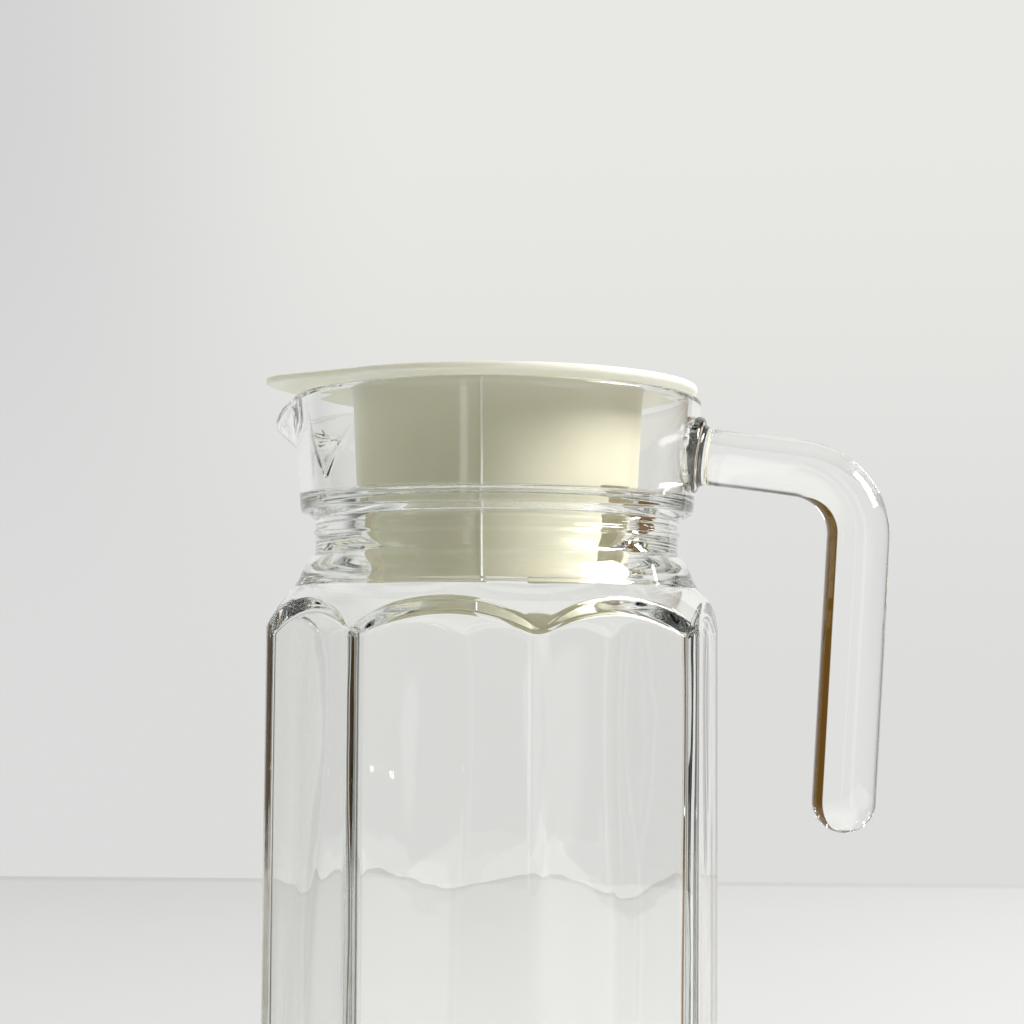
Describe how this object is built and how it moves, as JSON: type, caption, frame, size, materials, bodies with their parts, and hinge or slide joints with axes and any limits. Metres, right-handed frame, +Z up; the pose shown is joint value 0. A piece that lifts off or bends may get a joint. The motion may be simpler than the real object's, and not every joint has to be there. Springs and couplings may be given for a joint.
{
  "type": "water jug",
  "caption": "Tall octagonal clear glass water jug with an open hook handle, a V-shaped pouring lip and a plug-in plastic lid with a thumb tongue.",
  "frame": {"origin": "centre of the base on the resting plane, on the axis of the neck and the octagonal body", "axes": "+Z up, +X from the jug's axis towards the handle, -X towards the pouring lip, +Y completes the right-handed frame"},
  "size_m": [0.1418, 0.098, 0.215],
  "materials": {
    "clear_glass": "polished",
    "off_white_plastic": "satin"
  },
  "bodies": {
    "jug": {"glass_body": "clear_glass", "handle": "clear_glass"},
    "plug": {"lid_plug": "off_white_plastic"},
    "cap": {"lid_cap": "off_white_plastic"}
  },
  "joints": [
    {"name": "lid_lift", "type": "slide", "parent": "jug", "child": "plug", "axis": [0, 0, 1], "range_m": [0, 0.065]},
    {"name": "cap_turn", "type": "hinge", "parent": "plug", "child": "cap", "pos_m": [0, 0, 0.213], "axis": [0, 0, 1], "continuous": true}
  ]
}
